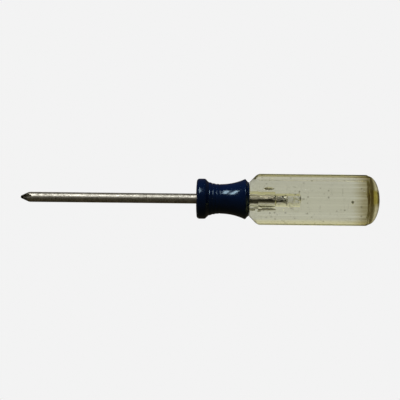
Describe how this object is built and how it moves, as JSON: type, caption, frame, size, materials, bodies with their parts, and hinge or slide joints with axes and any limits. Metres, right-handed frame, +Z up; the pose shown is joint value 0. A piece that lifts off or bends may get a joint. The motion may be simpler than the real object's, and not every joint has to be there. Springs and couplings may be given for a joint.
{
  "type": "cross-point screwdriver",
  "caption": "Hand screwdriver with a round steel blade, a cross-point tip, a waisted dark blue collar and a clear faceted handle with a domed butt.",
  "frame": {"origin": "under the middle of the tool's length, on the surface that the handle's lower flat rests on", "axes": "+X along the tool from the tip to the butt, +Z up, away from the flat that it rests on"},
  "size_m": [0.208, 0.0296, 0.0282],
  "materials": {
    "steel": "aged nickel plate, blotched and lightly scratched",
    "clear_plastic": "clear, faintly olive, polished and lightly nicked",
    "navy_plastic": "glossy, moulded"
  },
  "bodies": {
    "root": {"blade": "steel", "handle": "clear_plastic", "collar": "navy_plastic"}
  },
  "joints": []
}
